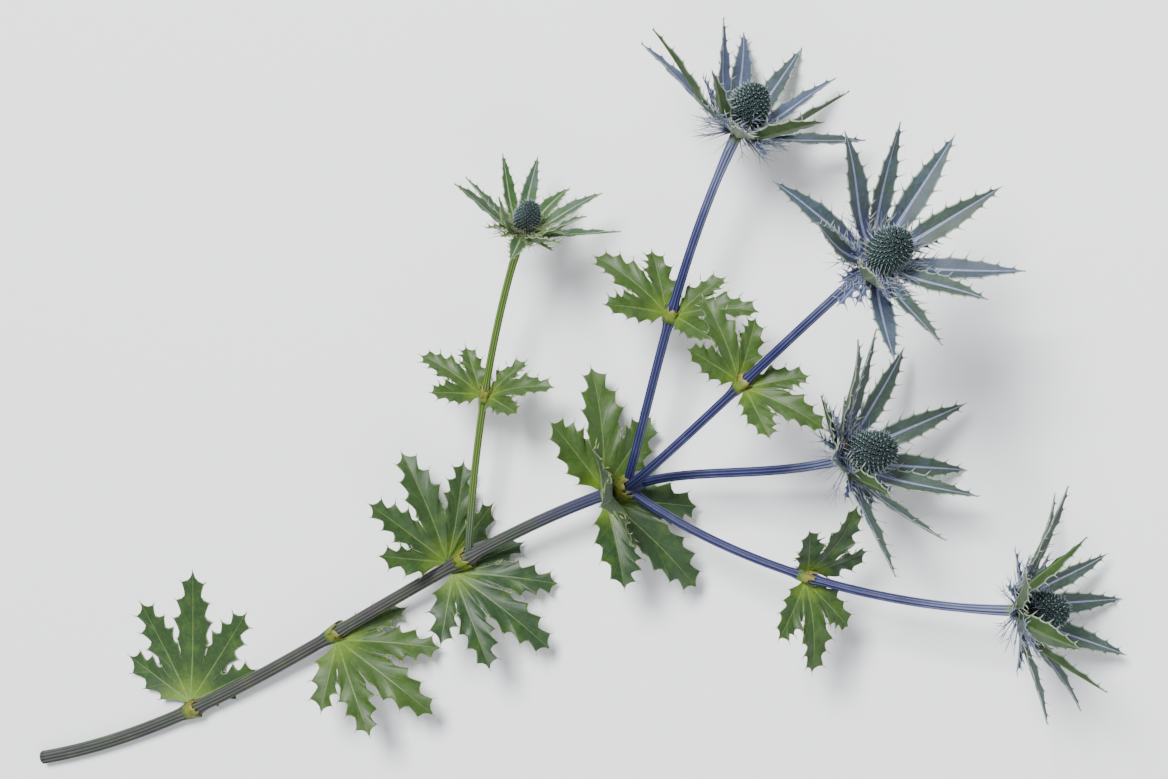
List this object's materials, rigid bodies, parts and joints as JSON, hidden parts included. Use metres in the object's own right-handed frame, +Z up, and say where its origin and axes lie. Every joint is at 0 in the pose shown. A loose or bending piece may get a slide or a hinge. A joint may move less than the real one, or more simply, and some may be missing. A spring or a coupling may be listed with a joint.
{
  "type": "sea holly stem",
  "caption": "Cut branched sea holly stem laid down: ribbed stem, blue flower stalks, spiny bract ruffs round teal cones, lobed spiny leaves.",
  "frame": {"origin": "Centre of the lying stem's bounding box, on the surface that it rests on.", "axes": "+X along the stem from its cut end towards the heads, +Z up from the surface, +Y to the left of +X."},
  "size_m": [0.5821, 0.3478, 0.1623],
  "materials": {
    "stem": "ribbed grey-green to dark purple-grey stem, dull",
    "stalk": "ribbed blue-violet stalk with pale stripes, satin",
    "young_stalk": "ribbed lime-green stalk, satin",
    "bract": "leathery blue-green bract with a pale lavender midrib and cream edge, satin",
    "cone": "dense dark teal florets, matt",
    "leaf": "leathery green leaf with pale spiny edges, semi-gloss"
  },
  "bodies": {
    "root": {"main_stem": "stem", "flower_stalk_1": "stalk", "involucre_1": "bract", "flower_cone_1": "cone", "flower_stalk_2": "stalk", "involucre_2": "bract", "flower_cone_2": "cone", "flower_stalk_3": "stalk", "involucre_3": "bract", "flower_cone_3": "cone", "flower_stalk_4": "stalk", "involucre_4": "bract", "flower_cone_4": "cone", "flower_stalk_5": "young_stalk", "involucre_5": "bract", "flower_cone_5": "cone", "lower_leaf_1": "leaf", "lower_leaf_2": "leaf", "axil_leaf_1": "leaf", "axil_leaf_2": "leaf", "whorl_leaf_1": "leaf", "whorl_leaf_2": "leaf", "whorl_leaf_3": "leaf", "stalk_leaf_1": "leaf", "stalk_leaf_2": "leaf", "stalk_leaf_3": "leaf", "stalk_leaf_4": "leaf", "stalk_leaf_5": "leaf", "stalk_leaf_6": "leaf", "stalk_leaf_7": "leaf", "stalk_leaf_8": "leaf"}
  },
  "joints": []
}
